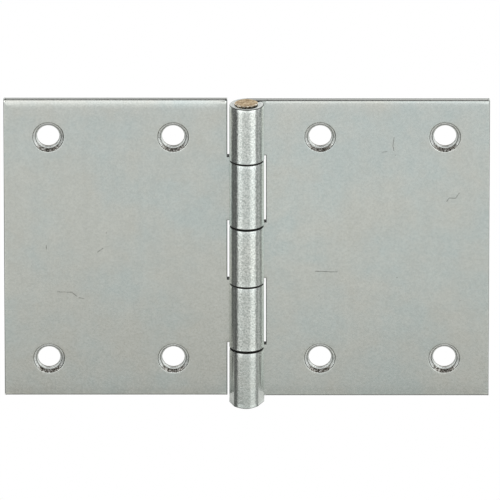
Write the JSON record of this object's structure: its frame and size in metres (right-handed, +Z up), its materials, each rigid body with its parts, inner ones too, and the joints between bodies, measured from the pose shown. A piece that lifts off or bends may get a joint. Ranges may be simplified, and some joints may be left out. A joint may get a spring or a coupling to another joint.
{
  "type": "butt hinge",
  "caption": "Broad steel butt hinge: flat leaves with countersunk screw holes, rolled knuckles cut from the same sheet, and a peened wire pin.",
  "frame": {"origin": "on the pin's axis, at half the height of the left leaf", "axes": "+Z up along the pin, +X towards the right leaf with the hinge open flat, -Y the side that the barrel stands out on"},
  "size_m": [0.123, 0.0088, 0.0814],
  "materials": {
    "zinc_plated_steel": "blue-passivated zinc plate on sheet steel, satin",
    "pin_brass": "plain brass-coloured wire, peened at the top"
  },
  "bodies": {
    "fixed_leaf": {"right_leaf": "zinc_plated_steel", "hinge_pin": "pin_brass"},
    "swing_leaf": {"left_leaf": "zinc_plated_steel"}
  },
  "joints": [
    {"name": "leaf_swing", "type": "hinge", "parent": "fixed_leaf", "child": "swing_leaf", "pos_m": [0, 0, 0], "axis": [0, 0, 1], "range_deg": [-92, 184]}
  ]
}
